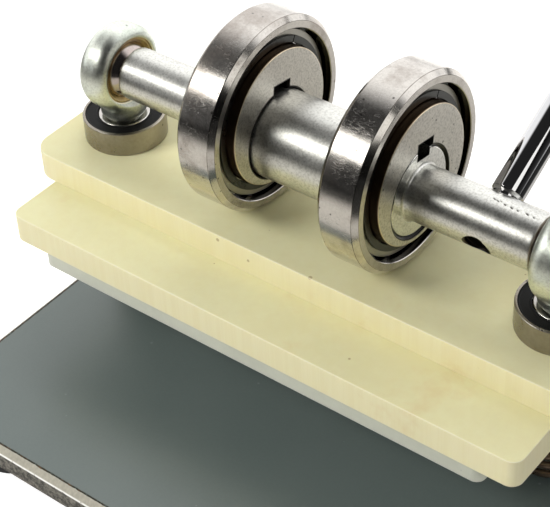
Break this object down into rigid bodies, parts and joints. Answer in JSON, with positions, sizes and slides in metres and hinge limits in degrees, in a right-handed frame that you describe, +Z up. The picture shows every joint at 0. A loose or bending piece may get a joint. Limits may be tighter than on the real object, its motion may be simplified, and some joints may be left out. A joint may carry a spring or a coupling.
{
  "type": "lever press",
  "caption": "Bench press for embossing leather belts: a lever turns a shaft with eccentric roller bearings that push a sprung nylon plate and pad down onto a steel base.",
  "frame": {"origin": "on the pad's pressing face, midway between the rod ends, press open", "axes": "+X along the shaft towards the lever's end, +Y to the back, where the lever leans, +Z up"},
  "size_m": [0.262, 0.3945, 0.2776],
  "materials": {
    "base_paint": "satin",
    "foot_rubber": "matte",
    "zinc_steel": "satin",
    "rod_end_zinc": "satin",
    "brass_race": "satin",
    "spring_steel": "satin",
    "shaft_steel": "satin",
    "ball_steel": "polished",
    "bearing_steel": "polished",
    "cage_steel": "satin",
    "split_ring_steel": "satin",
    "roller_steel": "polished",
    "cream_nylon": "satin",
    "white_pad": "satin",
    "guide_steel": "polished",
    "seal_rubber": "satin",
    "cage_brass": "satin",
    "lever_chrome": "polished",
    "grip_rubber": "matte"
  },
  "bodies": {
    "frame": {"base_plate": "base_paint", "rubber_feet": "foot_rubber", "foot_screws": "zinc_steel", "rod_end_left": "rod_end_zinc", "rod_end_right": "rod_end_zinc", "race_left": "brass_race", "race_right": "brass_race", "lock_nut_left": "zinc_steel", "lock_nut_right": "zinc_steel", "spring_left": "spring_steel", "spring_right": "spring_steel"},
    "shaft": {"cam_shaft": "shaft_steel", "rod_ball_left": "ball_steel", "rod_ball_right": "ball_steel", "shaft_key_left": "zinc_steel", "shaft_key_right": "zinc_steel", "eccentric_ring_left": "bearing_steel", "eccentric_ring_right": "bearing_steel", "lever_bar": "lever_chrome", "lever_grip": "grip_rubber"},
    "outer_ring_left": {"outer_ring_left": "bearing_steel"},
    "outer_ring_right": {"outer_ring_right": "bearing_steel"},
    "roller_set_left": {"roller_cage_left": "cage_steel", "split_rings_left": "split_ring_steel", "rollers_left": "roller_steel"},
    "roller_set_right": {"roller_cage_right": "cage_steel", "split_rings_right": "split_ring_steel", "rollers_right": "roller_steel"},
    "press": {"upper_plate": "cream_nylon", "lower_plate": "cream_nylon", "press_pad": "white_pad", "plate_screws": "zinc_steel", "guide_outer_ring_left": "guide_steel", "guide_outer_ring_right": "guide_steel", "guide_seals_left": "seal_rubber", "guide_seals_right": "seal_rubber"},
    "guide_inner_left": {"guide_inner_ring_left": "guide_steel"},
    "guide_inner_right": {"guide_inner_ring_right": "guide_steel"},
    "guide_ball_set_left": {"guide_balls_left": "roller_steel", "guide_cage_left": "cage_brass"},
    "guide_ball_set_right": {"guide_balls_right": "roller_steel", "guide_cage_right": "cage_brass"}
  },
  "joints": [
    {"name": "shaft_turn", "type": "hinge", "parent": "frame", "child": "shaft", "pos_m": [0, 0, 0.06637], "axis": [1, 0, 0], "range_deg": [0, 146]},
    {"name": "press_slide", "type": "slide", "parent": "frame", "child": "press", "axis": [0, 0, -1], "range_m": [0, 0.01214], "stiffness_N_per_m": 16000, "springref_m": -0.004, "deforming": ["spring_left", "spring_right"]},
    {"name": "ring_spin_left", "type": "hinge", "parent": "shaft", "child": "outer_ring_left", "pos_m": [-0.0323, 0.00097, 0.0733], "axis": [1, 0, 0], "continuous": true},
    {"name": "roller_spin_left", "type": "hinge", "parent": "shaft", "child": "roller_set_left", "pos_m": [-0.0323, 0.00097, 0.0733], "axis": [1, 0, 0], "continuous": true},
    {"name": "guide_spin_left", "type": "hinge", "parent": "press", "child": "guide_inner_left", "pos_m": [-0.105, 0, 0.0385], "axis": [0, 0, 1], "continuous": true},
    {"name": "guide_ball_spin_left", "type": "hinge", "parent": "press", "child": "guide_ball_set_left", "pos_m": [-0.105, 0, 0.0385], "axis": [0, 0, 1], "continuous": true},
    {"name": "ring_spin_right", "type": "hinge", "parent": "shaft", "child": "outer_ring_right", "pos_m": [0.033, 0.00097, 0.0733], "axis": [1, 0, 0], "continuous": true},
    {"name": "roller_spin_right", "type": "hinge", "parent": "shaft", "child": "roller_set_right", "pos_m": [0.033, 0.00097, 0.0733], "axis": [1, 0, 0], "continuous": true},
    {"name": "guide_spin_right", "type": "hinge", "parent": "press", "child": "guide_inner_right", "pos_m": [0.105, 0, 0.0385], "axis": [0, 0, 1], "continuous": true},
    {"name": "guide_ball_spin_right", "type": "hinge", "parent": "press", "child": "guide_ball_set_right", "pos_m": [0.105, 0, 0.0385], "axis": [0, 0, 1], "continuous": true}
  ],
  "couplings": [
    {"joint": "press_slide", "follows": "shaft_turn", "m_per_rad": 0.004762},
    {"joint": "roller_spin_left", "follows": "ring_spin_left", "ratio": 0.57237},
    {"joint": "guide_ball_spin_left", "follows": "guide_spin_left", "ratio": 0.38095},
    {"joint": "roller_spin_right", "follows": "ring_spin_right", "ratio": 0.57237},
    {"joint": "guide_ball_spin_right", "follows": "guide_spin_right", "ratio": 0.38095}
  ]
}
